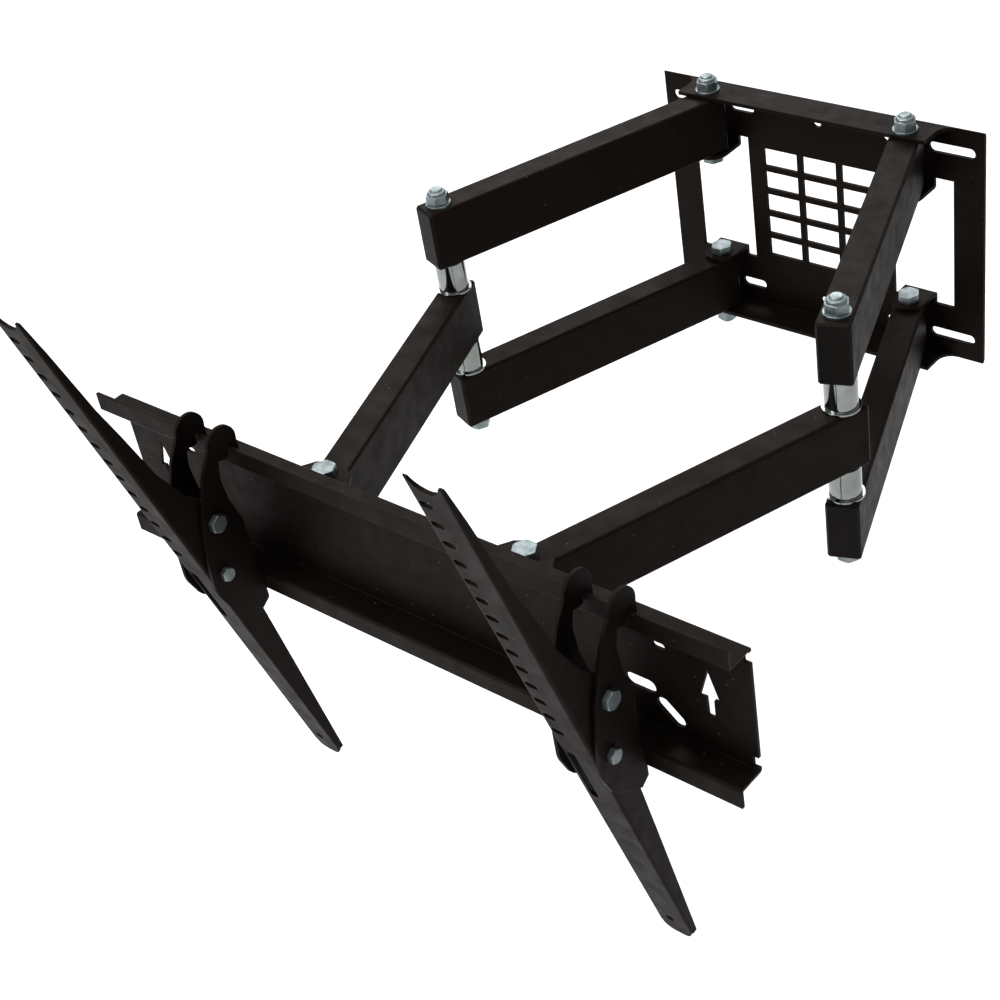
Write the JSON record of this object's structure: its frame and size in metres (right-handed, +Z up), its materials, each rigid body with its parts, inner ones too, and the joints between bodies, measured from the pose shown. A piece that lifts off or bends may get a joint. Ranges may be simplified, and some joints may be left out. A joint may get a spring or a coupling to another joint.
{
  "type": "full motion tv wall mount",
  "caption": "Wall plate with two folding double arms, a cross rail and two sliding, tilting TV brackets hooked over it.",
  "frame": {"origin": "centre of the wall-bolt slot pattern, on the back face of the wall plate", "axes": "+Z up, +Y into the wall, -Y towards the television, +X to the right seen from the television side"},
  "size_m": [0.452, 0.5362, 0.3993],
  "materials": {
    "powder_coat": "fine textured black powder coat",
    "chrome": "polished chrome plate",
    "zinc": "bright zinc plate",
    "cap_plastic": "matt black plastic"
  },
  "bodies": {
    "wall": {"wall_plate": "powder_coat", "wall_pivot_bolts": "zinc", "wall_pivot_washers": "zinc", "wall_pivot_nuts": "zinc"},
    "rail": {"front_rail": "powder_coat", "left_rail_clevis": "powder_coat", "right_rail_clevis": "powder_coat", "rail_pivot_bolts": "zinc", "rail_pivot_nuts": "zinc"},
    "left_rear_arms": {"left_upper_rear_arm": "powder_coat", "left_lower_rear_arm": "powder_coat", "left_upper_rear_arm_cap": "cap_plastic", "left_lower_rear_arm_cap": "cap_plastic", "left_elbow_upper_sleeve": "chrome", "left_elbow_lower_sleeve": "chrome", "left_elbow_bolt": "zinc", "left_elbow_washers": "zinc", "left_elbow_nut": "zinc"},
    "left_front_arm_body": {"left_front_arm": "powder_coat", "left_front_arm_cap": "cap_plastic"},
    "left_hook": {"left_hook_bracket": "powder_coat", "left_tilt_bolt": "zinc", "left_lock_bolt": "zinc", "left_tilt_nuts": "zinc"},
    "left_tv": {"left_tv_bracket": "powder_coat"},
    "right_rear_arms": {"right_upper_rear_arm": "powder_coat", "right_lower_rear_arm": "powder_coat", "right_upper_rear_arm_cap": "cap_plastic", "right_lower_rear_arm_cap": "cap_plastic", "right_elbow_upper_sleeve": "chrome", "right_elbow_lower_sleeve": "chrome", "right_elbow_bolt": "zinc", "right_elbow_washers": "zinc", "right_elbow_nut": "zinc"},
    "right_front_arm_body": {"right_front_arm": "powder_coat", "right_front_arm_cap": "cap_plastic"},
    "right_hook": {"right_hook_bracket": "powder_coat", "right_tilt_bolt": "zinc", "right_lock_bolt": "zinc", "right_tilt_nuts": "zinc"},
    "right_tv": {"right_tv_bracket": "powder_coat"}
  },
  "joints": [
    {"name": "extend", "type": "hinge", "parent": "wall", "child": "left_rear_arms", "pos_m": [-0.074, -0.017, 0], "axis": [0, 0, 1], "range_deg": [-60, 17]},
    {"name": "left_elbow", "type": "hinge", "parent": "left_rear_arms", "child": "left_front_arm_body", "pos_m": [-0.1448, -0.21152, 0], "axis": [0, 0, 1], "range_deg": [-34, 120]},
    {"name": "left_rail_pivot", "type": "hinge", "parent": "left_front_arm_body", "child": "rail", "pos_m": [-0.074, -0.40603, 0], "axis": [0, 0, 1], "range_deg": [-60, 17]},
    {"name": "right_shoulder", "type": "hinge", "parent": "wall", "child": "right_rear_arms", "pos_m": [0.074, -0.017, 0], "axis": [0, 0, 1], "range_deg": [-17, 60]},
    {"name": "right_elbow", "type": "hinge", "parent": "right_rear_arms", "child": "right_front_arm_body", "pos_m": [0.1448, -0.21152, 0], "axis": [0, 0, 1], "range_deg": [-120, 34]},
    {"name": "left_hook_slide", "type": "slide", "parent": "rail", "child": "left_hook", "axis": [1, 0, 0], "range_m": [-0.084, 0.084]},
    {"name": "right_hook_slide", "type": "slide", "parent": "rail", "child": "right_hook", "axis": [1, 0, 0], "range_m": [-0.115, 0.053]},
    {"name": "tilt", "type": "hinge", "parent": "left_hook", "child": "left_tv", "pos_m": [-0.124, -0.46203, 0.0135], "axis": [1, 0, 0], "range_deg": [-20, 0]},
    {"name": "right_tilt", "type": "hinge", "parent": "right_hook", "child": "right_tv", "pos_m": [0.155, -0.46203, 0.0135], "axis": [1, 0, 0], "range_deg": [-20, 0]}
  ],
  "couplings": [
    {"joint": "left_elbow", "follows": "extend", "ratio": -2},
    {"joint": "left_rail_pivot", "follows": "extend", "ratio": 1},
    {"joint": "right_shoulder", "follows": "extend", "ratio": -1},
    {"joint": "right_elbow", "follows": "extend", "ratio": 2},
    {"joint": "right_tilt", "follows": "tilt", "ratio": 1}
  ]
}
